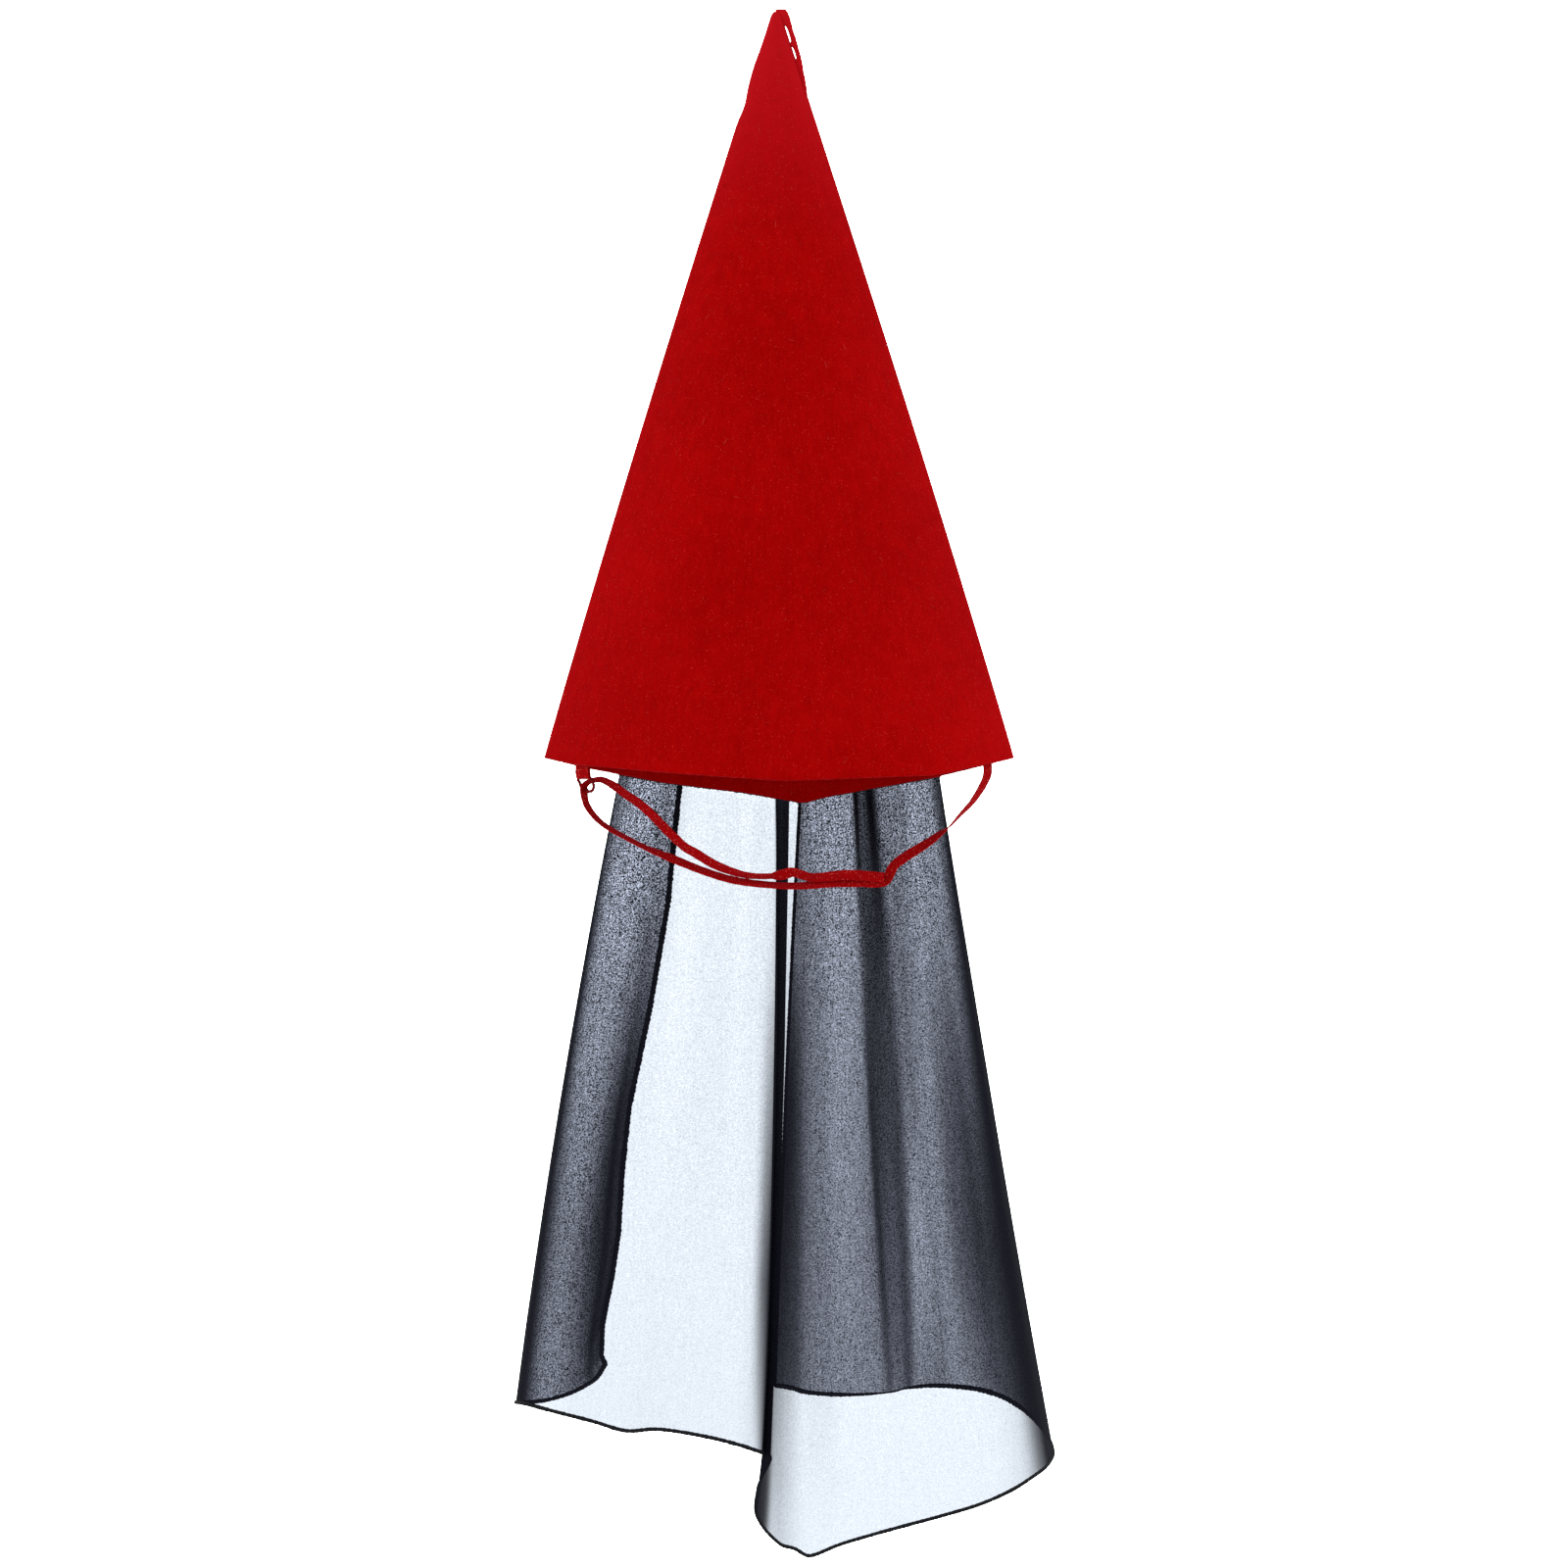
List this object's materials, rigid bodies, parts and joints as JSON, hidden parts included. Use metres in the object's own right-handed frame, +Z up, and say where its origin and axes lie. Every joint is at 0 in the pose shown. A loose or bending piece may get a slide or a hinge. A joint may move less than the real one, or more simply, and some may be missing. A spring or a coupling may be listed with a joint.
{
  "type": "cone party hat with veil",
  "caption": "Tall cone-shaped felt party hat with a sheer veil that hangs from the back of the rim and a ribbon chin strap.",
  "frame": {"origin": "on the cone's axis, level with the two side corners of the rim, where a head holds the hat", "axes": "+Z up the cone to its tip, -Y to the front, the side that the picture shows, +X to the picture's right"},
  "size_m": [0.2828, 0.1827, 0.785],
  "materials": {
    "red_felt": "fuzzy felt",
    "black_chiffon": "sheer crepe weave",
    "red_ribbon": "flat woven ribbon",
    "red_thread": "sewing thread"
  },
  "bodies": {
    "root": {"felt_cone": "red_felt", "tip_flap": "red_felt", "veil": "black_chiffon", "chin_strap": "red_ribbon", "strap_tab": "red_ribbon", "thread_loop": "red_thread"}
  },
  "joints": []
}
